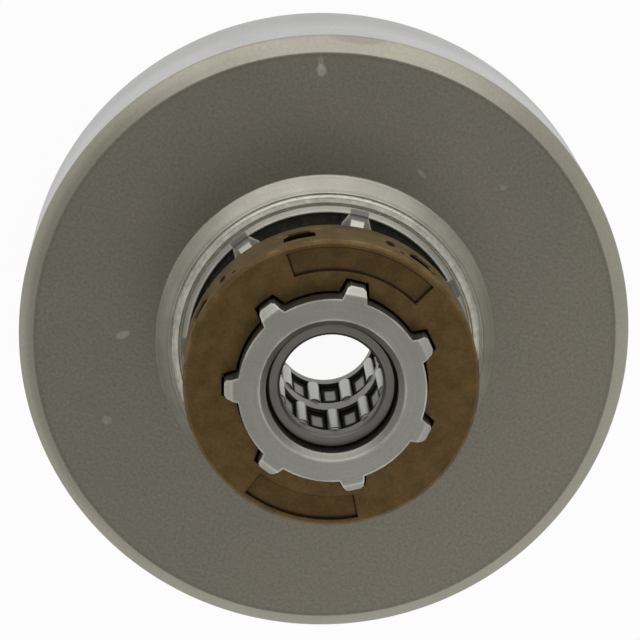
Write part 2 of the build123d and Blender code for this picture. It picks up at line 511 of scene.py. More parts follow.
class HubZones:
    """Masks of the hub's zones, each 1 where its zone lies."""

    def __init__(self, tree: MetalTree, hub: SplinedHub) -> None:
        """Map the flange's rings from the lip to the foot, then the spokes and the bore.

        Args:
            tree: The tree that the masks are part of.
            hub: The hub whose zones they follow.
        """
        self.tree = tree
        self.hub = hub
        self.above_face = tree.rise(tree.height, hub.face_z, hub.face_z + 0.5 * MM)
        self.flange = tree.rise(tree.radius, hub.lip_radius, hub.lip_radius + 0.1 * MM)
        self.slope = self.ring(hub.lip_radius + 0.05 * MM, hub.valley_radius - 0.2 * MM, 0.05 * MM)
        self.valley = self.ring(hub.valley_radius - 0.15 * MM, hub.valley_radius + 0.05 * MM, 0.08 * MM)
        self.bead = tree.band(tree.radius, hub.valley_radius, hub.step_radius, 0.05 * MM)
        self.bead_edge = self.ring(hub.step_radius - 0.5 * MM, hub.step_radius - 0.2 * MM, 0.08 * MM)
        self.step = self.ring(hub.step_radius, hub.step_radius + 0.5 * MM, 0.08 * MM)
        self.foot = tree.rise(tree.radius, hub.flange_radius - 0.25 * MM, hub.flange_radius - 0.15 * MM)
        self.map_spokes()
        self.map_nose()

    def ring(self, low: float, high: float, soft: float) -> Socket:
        """Mask of a ring of the flange, between two radii and above the drum's face."""
        return self.tree.both(self.tree.band(self.tree.radius, low, high, soft), self.above_face)

    def map_spokes(self) -> None:
        """Map the pockets' skin, the spokes, the ribs' toes and the lip between the spokes."""
        tree, hub = self.tree, self.hub
        pocket = tree.both(
            tree.band(tree.radius, hub.barrel_radius + 0.1 * MM, hub.pocket_radius - 0.05 * MM, 0.1 * MM),
            tree.fall(tree.height, hub.land_z - 0.25 * MM, hub.land_z - 0.08 * MM),
        )
        self.skin = tree.both(pocket, tree.rise(tree.height, hub.face_z - 0.5 * MM, hub.face_z))
        self.spoke = tree.both(
            tree.band(tree.radius, hub.barrel_radius, hub.lip_radius, 0.05 * MM),
            tree.band(tree.height, hub.land_z - 0.1 * MM, hub.land_z + 0.05 * MM, 0.02 * MM),
        )
        beside = self.beside_spoke()
        outward = self.ring(hub.pocket_radius - 0.15 * MM, hub.valley_radius - 0.3 * MM, 0.15 * MM)
        self.spoke_end = tree.both(outward, tree.off(beside))
        self.toe = tree.both(
            tree.band(tree.height, hub.land_z + 0.08 * MM, hub.land_z + hub.toe_rise, 0.06 * MM),
            tree.rise(tree.radius, hub.rib_radius - 0.1 * MM, hub.rib_radius),
        )
        land = tree.both(
            tree.band(tree.height, hub.land_z - 0.4 * MM, hub.land_z + 0.03 * MM, 0.05 * MM),
            tree.fall(tree.radius, hub.lip_radius, hub.lip_radius + 0.08 * MM),
        )
        off_ribs = tree.rise(tree.radius, hub.toe_radius, hub.toe_radius + 0.2 * MM)
        self.lip = tree.both(tree.both(land, off_ribs), beside)

    def map_nose(self) -> None:
        """Map the bore, its mouth and the splines' leads."""
        tree, hub = self.tree, self.hub
        self.bore = tree.fall(tree.radius, hub.bore_radius + 0.03 * MM, hub.bore_radius + 0.12 * MM)
        self.mouth = tree.rise(tree.height, hub.nose_z - 3.5 * MM, hub.nose_z - 2.5 * MM)
        self.lead = tree.both(
            tree.rise(tree.radius, hub.barrel_radius + 0.5 * MM, hub.barrel_radius + 0.8 * MM),
            tree.rise(tree.height, hub.nose_z - 2.2 * MM, hub.nose_z - 1.8 * MM),
        )

    def beside_spoke(self) -> Socket:
        """Mask of what lies beside the spokes, off their middle lines.

        Returns:
            The mask.
        """
        tree, hub = self.tree, self.hub
        pitch = math.tau / hub.spline_count
        turns = tree.math("DIVIDE", tree.math("SUBTRACT", tree.angle, math.pi / 2), pitch)
        share = tree.math("SUBTRACT", tree.math("FRACT", tree.math("ADD", turns, 0.5)), 0.5)
        offset = tree.math("ABSOLUTE", tree.both(tree.math("MULTIPLY", share, pitch), tree.radius))
        return tree.rise(offset, hub.spoke_half_width - 0.05 * MM, hub.spoke_half_width + 0.1 * MM)


@dataclass(frozen=True)
class HubSteel:
    """Machined steel with a dark forged skin in the pockets, painted shade in the corners and the bore, old
    grease in the bore, and painted light and highlights on faces that catch the light.
    """

    machined: Colour = srgb(138, 137, 129)
    flank: Colour = srgb(201, 198, 186)
    # pale colour of worn metal and of painted highlights
    rubbed_and_sheen: Colour = srgb(222, 220, 211)
    forged: Colour = srgb(98, 99, 90)
    # dark colour of the painted shade in creases and in the bore, and of old oil
    grime_and_shade: Colour = srgb(44, 41, 34)
    ring_scale: float = 4000.0
    ring_drift: float = 0.8
    skin_scale: float = 1300.0
    mottle_scale: float = 260.0
    grain_scale: float = 3800.0
    # reach of the worn edges and of their painted highlights
    edge_wear_and_sheen: float = 0.45 * MM
    # painted highlight on the lip; painted highlight with worn metal on the toes
    lip_highlight: float = 0.6
    toe_highlight_and_wear: float = 0.35
    foot_rub: float = 0.55
    # painted light that lifts the dark groove of the valley
    valley_painted_light: float = 1.5
    # painted light on the spokes' tops, which lie in the rim's shade
    spoke_painted_light: float = 2.0
    # painted shade on the slope between the lip and the valley
    slope_painted_shade: float = 0.5
    # painted light on the splines' leads
    lead_painted_light: float = 1.4
    bead_edge_tone: float = 0.75
    spoke_end_tone: float = 0.45
    # painted shade in the step's crease, in the bore's mouth, and deep in the bore together with old oil
    step_shade: float = 0.22
    bore_shade_and_oil: float = 0.97
    mouth_shade: float = 0.3
    bore_grease: float = 0.95

    def make(self, hub: SplinedHub) -> bpy.types.Material:
        """Material of the hub.

        Args:
            hub: The hub whose pockets and edges it follows.

        Returns:
            The material.
        """
        tree = MetalTree("hub_steel")
        zones = HubZones(tree, hub)
        rings = tree.turned(tree.radius, self.ring_scale, self.ring_drift)
        skin = tree.noise(self.skin_scale, 5.0)
        mottle = tree.noise(self.mottle_scale, 5.0)
        grain = tree.noise(self.grain_scale, 2.0)
        colour = tree.mix(zones.flange, self.machined, self.flank)
        colour = tree.vary(colour, mottle, 0.18)
        colour = tree.vary(colour, rings, 0.1)
        colour = tree.vary(colour, grain, 0.15)
        colour = tree.shade(colour, zones.bead, tree.spread(skin, 0.6, 1.5))
        # painted light in the valley's groove
        colour = tree.shade(colour, zones.valley, self.valley_painted_light)
        # painted light on the spokes' tops
        colour = tree.shade(colour, zones.spoke, self.spoke_painted_light)
        # painted shade on the slope down from the lip
        colour = tree.shade(colour, zones.slope, self.slope_painted_shade)
        # painted light on the splines' leads
        colour = tree.shade(colour, zones.lead, self.lead_painted_light)
        # worn metal and painted highlights on the lip, the toes, the foot and the sharp edges
        colour = tree.mix(self.wear_and_sheen(tree, zones, mottle), colour, self.rubbed_and_sheen)
        colour = tree.shade(colour, zones.bead_edge, self.bead_edge_tone)
        colour = tree.shade(colour, zones.spoke_end, self.spoke_end_tone)
        # painted shade in the crease of the step
        colour = tree.mix(tree.both(zones.step, self.step_shade), colour, self.grime_and_shade)
        # painted shade in the bore: deep behind the cage, where old oil lies too, and light in the mouth
        in_bore = tree.both(zones.bore, tree.blend(zones.mouth, self.bore_shade_and_oil, self.mouth_shade))
        colour = tree.mix(in_bore, colour, self.grime_and_shade)
        colour = tree.mix(zones.skin, colour, tree.vary(self.forged, skin, 0.7))
        coarse = tree.either(zones.skin, tree.both(zones.spoke, 0.7))
        roughness = tree.blend(coarse, tree.spread(mottle, 0.34, 0.46), 0.75)
        normal = tree.relief(
            0.2 * MM,
            (tree.both(skin, zones.skin), 0.12 * MM),
            (tree.both(skin, zones.bead), 0.06 * MM),
            (rings, 0.006 * MM),
            (grain, 0.008 * MM),
        )
        behind_cage = tree.both(zones.bore, tree.off(zones.mouth))
        return tree.finish(colour, roughness, normal, tree.both(behind_cage, self.bore_grease))

    def wear_and_sheen(self, tree: MetalTree, zones: HubZones, mottle: Socket) -> Socket:
        """Mask of what is painted bright: a painted highlight on the lip, a painted highlight and worn metal
        on the toes, worn metal on the foot, and worn metal with painted highlights along the sharp edges.

        Args:
            tree: The tree that it is part of.
            zones: Masks of the hub's zones.
            mottle: Noise that breaks up the worn and highlighted strips along the edges.

        Returns:
            The mask.
        """
        rubbed_and_sheen = tree.either(tree.both(zones.lip, self.lip_highlight), tree.both(zones.toe, self.toe_highlight_and_wear))
        rubbed_and_sheen = tree.either(rubbed_and_sheen, tree.both(zones.foot, self.foot_rub))
        patchy = tree.spread(tree.rise(mottle, 0.35, 0.65), 0.3, 1.0)
        return tree.either(rubbed_and_sheen, tree.both(tree.edges(self.edge_wear_and_sheen), patchy))


@dataclass(frozen=True)
class Pit:
    """A chipped pit on the rim's outer wall."""

    angle_deg: float
    height: float
    half_width: float
    half_height: float


RIM_PITS = (
    Pit(79.7, 4.4 * MM, 0.75 * MM, 1.6 * MM),
    Pit(75.0, 6.4 * MM, 0.35 * MM, 0.6 * MM),
    Pit(150.1, 5.0 * MM, 0.65 * MM, 1.4 * MM),
    Pit(144.0, 6.6 * MM, 0.35 * MM, 0.6 * MM),
)


@dataclass(frozen=True)
class RimBronze:
    """Bronze-brown sintered metal, mottled, worn pale by the chain, with a painted highlight along the front
    edge and painted shade with old oil in its hollows.
    """

    body: Colour = srgb(103, 83, 53)
    dull: Colour = srgb(87, 70, 44)
    rubbed_and_sheen: Colour = srgb(140, 120, 84)
    # near-black colour of the painted shade and old oil in the hollows
    hollow_shade_and_dirt: Colour = srgb(24, 19, 12)
    mottle_scale: float = 420.0
    grain_scale: float = 2600.0
    # painted shade on the floor of the recessed panels
    panel_floor_shade: float = 0.85
    # painted shade and old oil in the slots, along the panel borders and in the pits
    inside_shade_and_dirt: float = 0.96
    border_shade_and_dirt: float = 0.75
    pit_shade_and_dirt: float = 0.97

    def make(self, rim: RimSprocket) -> bpy.types.Material:
        """Material of the rim sprocket.

        Args:
            rim: The rim whose edges, slots and panels it follows.

        Returns:
            The material.
        """
        tree = MetalTree("rim_bronze")
        mottle = tree.noise(self.mottle_scale, 5.0)
        grain = tree.noise(self.grain_scale, 3.0)
        front_edge = tree.both(
            tree.rise(tree.radius, rim.radius - 0.35 * MM, rim.radius - 0.2 * MM),
            tree.band(tree.height, rim.front_z - 0.65 * MM, rim.front_z - 0.3 * MM, 0.1 * MM),
        )
        chain_track = tree.both(
            tree.rise(tree.radius, rim.flat_radius - 0.05 * MM, rim.flat_radius),
            tree.fall(tree.height, rim.front_z - 0.8 * MM, rim.front_z - 0.4 * MM),
        )
        panel_floor = tree.both(
            tree.band(tree.radius, rim.panel_radius - rim.panel_width, rim.panel_radius, 0.05 * MM),
            tree.band(tree.height, rim.front_z - 0.7 * MM, rim.front_z - 0.3 * MM, 0.05 * MM),
        )
        edge_wear_and_sheen = tree.spread(tree.rise(mottle, 0.4, 0.7), 0.0, 0.4)
        track_wear = tree.spread(tree.rise(mottle, 0.35, 0.65), 0.65, 1.0)
        dirt_and_shade = self.dirt_and_shade(tree, rim)
        colour = tree.mix(tree.rise(mottle, 0.3, 0.7), self.dull, self.body)
        # worn metal and a painted highlight along the front edge
        colour = tree.mix(tree.both(front_edge, edge_wear_and_sheen), colour, self.rubbed_and_sheen)
        colour = tree.vary(colour, grain, 0.28)
        colour = tree.mix(tree.both(chain_track, track_wear), colour, self.rubbed_and_sheen)
        # painted shade on the panels' floor
        colour = tree.shade(colour, panel_floor, self.panel_floor_shade)
        # painted shade and old oil in the hollows
        colour = tree.mix(dirt_and_shade, colour, self.hollow_shade_and_dirt)
        roughness = tree.spread(mottle, 0.44, 0.58)
        normal = tree.relief(0.2 * MM, (grain, 0.04 * MM), (mottle, 0.05 * MM))
        return tree.finish(colour, roughness, normal, dirt_and_shade)

    def dirt_and_shade(self, tree: MetalTree, rim: RimSprocket) -> Socket:
        """Mask of the painted shade and old oil in the slots and splines, along the panels and in the pits.

        Args:
            tree: The tree that it is part of.
            rim: The rim that it lies on.

        Returns:
            The mask.
        """
        inside = tree.both(
            tree.fall(tree.radius, rim.flat_radius - 0.05 * MM, rim.flat_radius - 0.01 * MM),
            tree.fall(tree.height, rim.front_z - 0.9 * MM, rim.front_z - 0.7 * MM),
        )
        border = tree.both(self.panel_border(tree, rim), self.border_shade_and_dirt)
        mask = tree.either(tree.both(inside, self.inside_shade_and_dirt), border)
        for pit in RIM_PITS:
            mask = tree.either(mask, tree.both(self.pit_mask(tree, rim, pit), self.pit_shade_and_dirt))
        return mask

    @staticmethod
    def panel_border(tree: MetalTree, rim: RimSprocket) -> Socket:
        """Mask of painted shade and old oil at the foot of the panels' walls.

        Args:
            tree: The tree that it is part of.
            rim: The rim that has the panels.

        Returns:
            The mask.
        """
        across = tree.math(
            "MINIMUM",
            tree.math("SUBTRACT", tree.radius, rim.panel_radius - rim.panel_width),
            tree.math("SUBTRACT", rim.panel_radius, tree.radius),
        )
        below = tree.fall(tree.height, rim.front_z - 0.2 * MM, rim.front_z - 0.1 * MM)
        below = tree.both(below, tree.rise(across, -0.15 * MM, -0.08 * MM))
        mask: Value = 0.0
        for middle_deg, span_deg in rim.panels:
            turn = tree.math("ABSOLUTE", tree.math("SUBTRACT", tree.angle, math.radians(middle_deg)))
            left = tree.math("SUBTRACT", math.radians(span_deg / 2), turn)
            nearest = tree.math("MINIMUM", across, tree.both(left, tree.radius))
            border = tree.both(tree.fall(nearest, 0.1 * MM, 0.32 * MM), tree.rise(left, -0.02, -0.01))
            mask = tree.either(mask, tree.both(border, below))
        return mask

    @staticmethod
    def pit_mask(tree: MetalTree, rim: RimSprocket, pit: Pit) -> Socket:
        """Mask of one pit, drawn as painted shade and old oil.

        Args:
            tree: The tree that it is part of.
            rim: The rim that has the pit.
            pit: The pit.

        Returns:
            The mask.
        """
        turn = tree.math("SUBTRACT", tree.angle, math.radians(pit.angle_deg))
        along = tree.math("MULTIPLY", turn, rim.radius / pit.half_width)
        upward = tree.math("SUBTRACT", tree.height, rim.seat_z + pit.height)
        beside = tree.math("DIVIDE", upward, pit.half_height)
        reach = tree.math("ADD", tree.both(along, along), tree.both(beside, beside))
        outside = tree.rise(tree.radius, rim.radius - 0.4 * MM, rim.radius - 0.3 * MM)
        return tree.both(outside, tree.fall(reach, 0.4, 1.1))


@dataclass(frozen=True)
class CageSteel:
    """Satin steel of the needle cage, black round its pads with old grease and painted deep shade."""

    satin: Colour = srgb(106, 104, 98)
    # near-black colour of the painted deep shade and old grease round the pads
    greasy_shade: Colour = srgb(14, 13, 12)
    ring_scale: float = 6000.0
    ring_drift: float = 0.6
    mottle_scale: float = 500.0
    pad_low: float = -2.0 * MM
    pad_high: float = 2.2 * MM
    pad_tone: float = 0.95
    greasy_shade_share: float = 0.97
    grease_share: float = 0.95

    def make(self, bearing: NeedleBearing) -> bpy.types.Material:
        """Material of the cage.

        Args:
            bearing: The bearing whose rows it follows.

        Returns:
            The material.
        """
        tree = MetalTree("cage_steel")
        wave = tree.math("COSINE", tree.math("MULTIPLY", tree.angle, float(bearing.rollers_per_row)))
        deep: Value = 0.0
        pads: Value = 0.0
        for row, sign in bearing.rows.items():
            low, high = bearing.row_span(row)
            middle = (low + high) / 2
            between = tree.rise(tree.math("MULTIPLY", wave, sign), 0.35, 0.75)
            level = tree.band(tree.height, middle + self.pad_low, middle + self.pad_high, 0.4 * MM)
            pad = tree.both(between, level)
            on_row = tree.band(tree.height, low - 0.1 * MM, high + 0.1 * MM, 0.05 * MM)
            deep = tree.either(deep, tree.both(on_row, tree.off(pad)))
            pads = tree.either(pads, tree.both(on_row, pad))
        inward = tree.fall(tree.radius, bearing.outer_radius - 0.12 * MM, bearing.outer_radius - 0.04 * MM)
        deep = tree.both(deep, inward)
        rings = tree.turned(tree.radius, self.ring_scale, self.ring_drift)
        colour = tree.vary(self.satin, rings, 0.18)
        colour = tree.vary(colour, tree.noise(self.mottle_scale, 3.0), 0.12)
        colour = tree.shade(colour, pads, self.pad_tone)
        # painted deep shade and old grease round the pads
        colour = tree.mix(tree.both(deep, self.greasy_shade_share), colour, self.greasy_shade)
        roughness = tree.blend(deep, 0.4, 0.7)
        normal = tree.relief(0.1 * MM, (rings, 0.008 * MM))
        return tree.finish(colour, roughness, normal, tree.both(deep, self.grease_share))


@dataclass(frozen=True)
class RollerSteel:
    """Ground bearing steel, a little dull from use."""

    ground: Colour = srgb(158, 158, 152)
    tone_scale: float = 700.0

    def make(self) -> bpy.types.Material:
        """Material of the rollers, with slow changes of tone along them.

        Returns:
            The material.
        """
        tree = MetalTree("roller_steel")
        tone = tree.noise(self.tone_scale, 2.0)
        colour = tree.vary(self.ground, tone, 0.15)
        normal = tree.relief(0.05 * MM, (tone, 0.002 * MM))
        return tree.finish(colour, tree.spread(tone, 0.28, 0.38), normal)


def round_corner(before: Vector, corner: Vector, after: Vector, radius: float, steps: int) -> list[Vector]:
    """Arc that takes the place of one corner of an outline.

    Args:
        before: Point ahead of the corner.
        corner: The corner.
        after: Point past the corner.
        radius: Radius of the arc, or 0 to keep the corner.
        steps: Spans of the arc.

    Returns:
        The points of the arc, or the corner alone.
    """
    if radius <= 0:
        return [corner]
    inward = (before - corner).normalized()
    outward = (after - corner).normalized()
    half = inward.angle(outward) / 2
    reach = radius / math.tan(half)
    middle = corner + (inward + outward).normalized() * (radius / math.sin(half))
    start = corner + inward * reach - middle
    end = corner + outward * reach - middle
    sweep = start.angle_signed(end)
    return [
        middle + Matrix.Rotation(-sweep * step / steps, 2) @ start
        for step in range(steps + 1)
    ]


def rounded_outline(points: list[Point], radii: list[float], steps: int = 5) -> list[Vector]:
    """Closed outline with its corners rounded.

    Args:
        points: Corners in order.
        radii: Radius of each corner.
        steps: Spans of each arc.

    Returns:
        The outline's points.
    """
    corners = [Vector(point) for point in points]
    count = len(corners)
    outline: list[Vector] = []
    for index, corner in enumerate(corners):
        before = corners[index - 1]
        after = corners[(index + 1) % count]
        outline += round_corner(before, corner, after, radii[index], steps)
    return outline


def lathe(name: str, outline: list[Vector], segments: int) -> bpy.types.Object:
    """Turn a closed outline of radius and height round the shaft.

    Args:
        name: Name of the piece.
        outline: Points of radius and height.
        segments: Steps round the shaft.

    Returns:
        The turned piece.
    """
    shape = bmesh.new()
    rings = []
    for step in range(segments):
        turn = math.tau * step / segments
        rings.append([
            shape.verts.new((point.x * math.cos(turn), point.x * math.sin(turn), point.y))
            for point in outline
        ])
    count = len(outline)
    for step in range(segments):
        here = rings[step]
        there = rings[(step + 1) % segments]
        for index in range(count):
            following = (index + 1) % count
            shape.faces.new((here[index], there[index], there[following], here[following]))
    bmesh.ops.recalc_face_normals(shape, faces=shape.faces)
    mesh = bpy.data.meshes.new(name)
    shape.to_mesh(mesh)
    shape.free()
    return add_piece(name, mesh)


def add_piece(name: str, mesh: bpy.types.Mesh) -> bpy.types.Object:
    """Put a mesh in the scene as a smooth piece with its sharp edges kept.

    Args:
        name: Name of the piece.
        mesh: Its mesh.

    Returns:
        The piece.
    """
    mesh.polygons.foreach_set("use_smooth", [True] * len(mesh.polygons))
    mesh.set_sharp_from_angle(angle=SHARP_ANGLE)
    piece = bpy.data.objects.new(name, mesh)
    bpy.context.scene.collection.objects.link(piece)
    return piece


def dress(piece: bpy.types.Object, material: bpy.types.Material) -> None:
    """Give a piece its only material."""
    piece.data.materials.clear()
    piece.data.materials.append(material)


@dataclass
class DrumCup:
    """The open cup that the clutch shoes press on."""

    outer_radius: float
    face_z: float
    wall: float = 2.5 * MM
    web: float = 3.0 * MM
    bevel_width: float = 2.0 * MM
    bevel_height: float = 1.9 * MM
    bevel_round: float = 0.5 * MM
    inner_corner: float = 2.4 * MM
    mouth_round: float = 0.3 * MM
    hole_radius: float = 14.02 * MM
    segments: int = 288

    @classmethod
    def from_frame(cls) -> DrumCup:
        """Cup at the size of its frame node."""
        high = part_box("drum_cup")[1]
        return cls(outer_radius=high.x, face_z=high.z)

    @property
    def friction_radius(self) -> float:
        """Radius of the wall that the shoes press on."""
        return self.outer_radius - self.wall

    @property
    def face_radius(self) -> float:
        """Radius of the flat face, inside the bevel."""
        return self.outer_radius - self.bevel_width

    @property
    def bevel_z(self) -> float:
        """Height of the bevel's lower edge."""
        return self.face_z - self.bevel_height

    @property
    def web_z(self) -> float:
        """Height of the web's inner face."""
        return self.face_z - self.web

    def build(self) -> bpy.types.Object:
        """Turn the cup and let it stand for its node.

        Returns:
            The cup.
        """
        corners = {
            (self.hole_radius, self.face_z): 0.0,
            (self.face_radius, self.face_z): self.bevel_round,
            (self.outer_radius, self.bevel_z): self.bevel_round,
            (self.outer_radius, 0.0): self.mouth_round,
            (self.friction_radius, 0.0): self.mouth_round,
            (self.friction_radius, self.web_z): self.inner_corner,
            (self.hole_radius, self.web_z): 0.0,
        }
        outline = rounded_outline(list(corners), list(corners.values()))
        piece = lathe("turned_drum", outline, self.segments)
        dress(piece, DrumSteel().make(self))
        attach(piece, "drum")
        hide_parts("drum_cup")
        return piece


@dataclass
class SplinedHub:
    """The forged hub: flange, pockets, ribs and splines."""

    flange_radius: float
    nose_z: float
    face_z: float
    barrel_radius: float = 11.4 * MM
    bore_radius: float = 8.0 * MM
    step_radius: float = 19.7 * MM
    valley_radius: float = 18.5 * MM
    lip_radius: float = 17.7 * MM
    pocket_radius: float = 17.55 * MM
    rib_radius: float = 16.1 * MM
    toe_radius: float = 16.9 * MM
    land_rise: float = 3.45 * MM
    toe_rise: float = 0.8 * MM
    spline_count: int = 7
    spoke_half_width: float = 1.15 * MM

    @classmethod
    def from_frame(cls, cup: DrumCup) -> SplinedHub:
        """Hub at the size of its frame node."""
        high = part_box("splined_hub")[1]
        return cls(flange_radius=high.x, nose_z=high.z, face_z=cup.face_z)

    @property
    def land_z(self) -> float:
        """Height of the lip round the pockets and of the spokes."""
        return self.face_z + self.land_rise

    def finish(self, node: bpy.types.Object) -> None:
        """Dress the hub's own node."""
        dress(node, HubSteel().make(self))


@dataclass
class RimSprocket:
    """The floating rim that drives the chain."""

    radius: float
    seat_z: float
    front_z: float
    seat_flat: float = 0.3 * MM
    panel_inset: float = 0.85 * MM
    panel_width: float = 3.0 * MM
    panels: tuple[tuple[float, float], ...] = ((90.0, 64.0), (-90.0, 49.0))

    @classmethod
    def from_frame(cls) -> RimSprocket:
        """Rim at the size of its frame node."""
        low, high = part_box("rim_sprocket")
        return cls(radius=high.x, seat_z=low.z, front_z=high.z)

    @property
    def flat_radius(self) -> float:
        """Least radius of the flats that the drive links seat on."""
        return self.radius - self.seat_flat

    @property
    def panel_radius(self) -> float:
        """Outer radius of the panels."""
        return self.radius - self.panel_inset

    def finish(self, node: bpy.types.Object) -> None:
        """Dress the rim's own node."""
        dress(node, RimBronze().make(self))


class RollerTree:
    """Geometry tree that turns one needle roller with rounded ends."""

    INPUTS = ("Radius", "Length", "End Round", "Orbit", "Angle", "Base")
    STATIONS = 37
    SIDES = 40

    def __init__(self, material: bpy.types.Material) -> None:
        """Build the tree.

        Args:
            material: Material of the rollers.
        """
        self.tree = bpy.data.node_groups.new("needle_roller", "GeometryNodeTree")
        self.tree.is_modifier = True
        face = self.tree.interface
        face.new_socket(name="Geometry", in_out="OUTPUT", socket_type="NodeSocketGeometry")
        self.keys = {
            name: face.new_socket(name=name, in_out="INPUT", socket_type="NodeSocketFloat").identifier
            for name in self.INPUTS
        }
        self.given = self.tree.nodes.new("NodeGroupInput")
        self.grow(material)

    def node(self, kind: str, inputs: dict[str | int, object]) -> bpy.types.Node:
        """Add a node and fill its inputs.

        Args:
            kind: Node type.
            inputs: Socket name or place to a value or a socket.

        Returns:
            The new node.
        """
        made = self.tree.nodes.new(kind)
        for key, value in inputs.items():
            if isinstance(value, bpy.types.NodeSocket):
                self.tree.links.new(value, made.inputs[key])
            else:
                made.inputs[key].default_value = value
        return made

    def math(self, operation: str, first: Value, second: Value = 0.0) -> Socket:
        """One sum on numbers.

        Args:
            operation: Name of Blender's operation.
            first: First number.
            second: Second number, where the sum has one.

        Returns:
            The result.
        """
        made = self.node("ShaderNodeMath", {0: first, 1: second})
        made.operation = operation
        return made.outputs[0]

    def grow(self, material: bpy.types.Material) -> None:
        """Lay out the spine, its swelling radius and the place on the orbit.

        Args:
            material: Material of the rollers.
        """
        given = self.given.outputs
        spine = self.node("GeometryNodeCurvePrimitiveLine", {"End": (0.0, 0.0, 1.0)})
        points = self.node("GeometryNodeResampleCurve", {"Curve": spine.outputs[0], "Count": self.STATIONS})
        share = self.node("GeometryNodeSplineParameter", {}).outputs["Factor"]
        wave = self.math("COSINE", self.math("MULTIPLY", share, math.pi))
        eased = self.math("MULTIPLY", self.math("SUBTRACT", 1.0, wave), 0.5)
        place = self.node("ShaderNodeCombineXYZ", {"Z": self.math("MULTIPLY", eased, given["Length"])})
        placed = self.node(
            "GeometryNodeSetPosition", {"Geometry": points.outputs[0], "Position": place.outputs[0]}
        )
        where = self.node("GeometryNodeInputPosition", {})
        along = self.node("ShaderNodeSeparateXYZ", {0: where.outputs[0]}).outputs["Z"]
        from_end = self.math("MINIMUM", along, self.math("SUBTRACT", given["Length"], along))
        short = self.math("MAXIMUM", self.math("SUBTRACT", given["End Round"], from_end), 0.0)
        square = self.math("MULTIPLY", given["End Round"], given["End Round"])
        bow = self.math("SQRT", self.math("SUBTRACT", square, self.math("MULTIPLY", short, short)))
        core = self.math("SUBTRACT", given["Radius"], given["End Round"])
        ring = self.node("GeometryNodeCurvePrimitiveCircle", {"Resolution": self.SIDES, "Radius": 1.0})
        skin = self.node(
            "GeometryNodeCurveToMesh",
            {
                "Curve": placed.outputs[0],
                "Profile Curve": ring.outputs[0],
                "Scale": self.math("ADD", core, bow),
                "Fill Caps": True,
            },
        )
        across = self.math("MULTIPLY", given["Orbit"], self.math("COSINE", given["Angle"]))
        upward = self.math("MULTIPLY", given["Orbit"], self.math("SINE", given["Angle"]))
        seat = self.node("ShaderNodeCombineXYZ", {"X": across, "Y": upward, "Z": given["Base"]})
        moved = self.node(
            "GeometryNodeTransform", {"Geometry": skin.outputs[0], "Translation": seat.outputs[0]}
        )
        real = self.node("GeometryNodeRealizeInstances", {"Geometry": moved.outputs[0]})
        done = self.node("GeometryNodeSetMaterial", {"Geometry": real.outputs[0], "Material": material})
        self.node("NodeGroupOutput", {0: done.outputs[0]})

    def make(self, name: str, sizes: dict[str, float]) -> bpy.types.Object:
        """Make one roller as a plain mesh.

        Args:
            name: Name of the piece.
            sizes: Value of each named input.

        Returns:
            The roller.
        """
        blank = bpy.data.meshes.new(name)
        piece = bpy.data.objects.new(name, blank)
        bpy.context.scene.collection.objects.link(piece)
        modifier = piece.modifiers.new("turn", "NODES")
        modifier.node_group = self.tree
        for key, value in sizes.items():
            modifier[self.keys[key]] = value
        graph = bpy.context.evaluated_depsgraph_get()
        mesh = bpy.data.meshes.new_from_object(piece.evaluated_get(graph))
        bpy.data.objects.remove(piece)
        bpy.data.meshes.remove(blank)
        mesh.name = name
        return add_piece(name, mesh)


@dataclass
class NeedleBearing:
    """The two-row cage and its rollers."""

    outer_radius: float
    end_round: float = 0.28 * MM
    rollers_per_row: int = 10
    rows: ClassVar[dict[str, float]] = {"front": -1.0, "rear": 1.0}

    @classmethod
    def from_frame(cls) -> NeedleBearing:
        """Bearing at the size of its frame node."""
        return cls(outer_radius=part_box("needle_cage")[1].x)

    def finish(self, node: bpy.types.Object) -> None:
        """Dress the cage's own node."""
        dress(node, CageSteel().make(self))

    @staticmethod
    def row_span(row: str) -> tuple[float, float]:
        """Lowest and highest place of a row's rollers."""
        low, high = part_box(f"{row}_roller_01")
        return low.z, high.z

    def build_rollers(self) -> list[bpy.types.Object]:
        """Turn every roller where its node is, each on its own body.

        Returns:
            The rollers.
        """
        tree = RollerTree(RollerSteel().make())
        made = []
        for row in self.rows:
            for number in range(1, self.rollers_per_row + 1):
                node = f"{row}_roller_{number:02d}"
                low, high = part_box(node)
                middle = (low + high) / 2
                sizes = {
                    "Radius": (high.x - low.x) / 2,
                    "Length": high.z - low.z,
                    "End Round": self.end_round,
                    "Orbit": math.hypot(middle.x, middle.y),
                    "Angle": math.atan2(middle.y, middle.x),
                    "Base": low.z,
                }
                piece = tree.make(f"needle_{row}_{number:02d}", sizes)
                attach(piece, node)
                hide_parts(node)
                made.append(piece)
        return made


@dataclass(frozen=True)
class Softbox:
    """A large soft lamp that looks at the part."""

    name: str
    turn_deg: float
    rise_deg: float
    distance: float
    width: float
    height: float
    radiance: float

    def hang(self, aim: Vector) -> None:
        """Hang the lamp.

        Args:
            aim: The point that it looks at.
        """
        lamp = bpy.data.lights.new(self.name, "AREA")
        lamp.shape = "RECTANGLE"
        lamp.size = self.width
        lamp.size_y = self.height
        lamp.energy = self.radiance * math.pi * self.width * self.height
        turn, rise = math.radians(self.turn_deg), math.radians(self.rise_deg)
        away = Vector((math.cos(turn) * math.cos(rise), math.sin(turn) * math.cos(rise), math.sin(rise)))
        holder = bpy.data.objects.new(self.name, lamp)
        holder.location = aim + away * self.distance
        holder.rotation_euler = away.to_track_quat("Z", "Y").to_euler()
        bpy.context.scene.collection.objects.link(holder)


